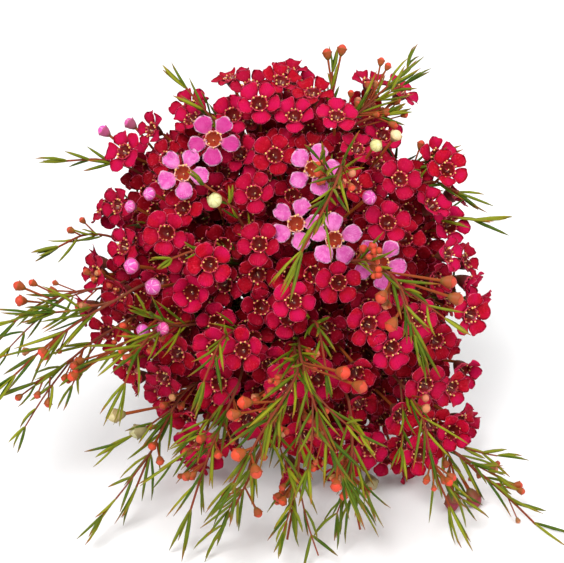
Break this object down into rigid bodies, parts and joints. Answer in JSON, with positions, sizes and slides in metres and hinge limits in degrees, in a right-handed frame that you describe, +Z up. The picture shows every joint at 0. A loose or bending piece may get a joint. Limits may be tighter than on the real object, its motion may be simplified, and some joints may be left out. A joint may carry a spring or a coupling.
{
  "type": "waxflower stem",
  "caption": "Cut flowering waxflower stem lying down, with a dense dome of small crimson and pink five-petalled blooms, buds and needle-leaved shoots.",
  "frame": {"origin": "on the surface it lies on, below the middle of its bounding box", "axes": "+Z up from the surface, +Y along the bare stem from the flower head to the cut end"},
  "size_m": [0.2172, 0.423, 0.1481],
  "materials": {
    "bark": "matt, finely ridged bark",
    "blossom": "soft satin petals; green needle leaves and red-brown twigs"
  },
  "bodies": {
    "root": {"main_stem": "bark", "branch_01": "blossom", "branch_02": "blossom", "branch_03": "blossom", "branch_04": "blossom", "branch_05": "blossom", "branch_06": "blossom", "branch_07": "blossom", "branch_08": "blossom", "branch_09": "blossom", "branch_10": "blossom"}
  },
  "joints": []
}
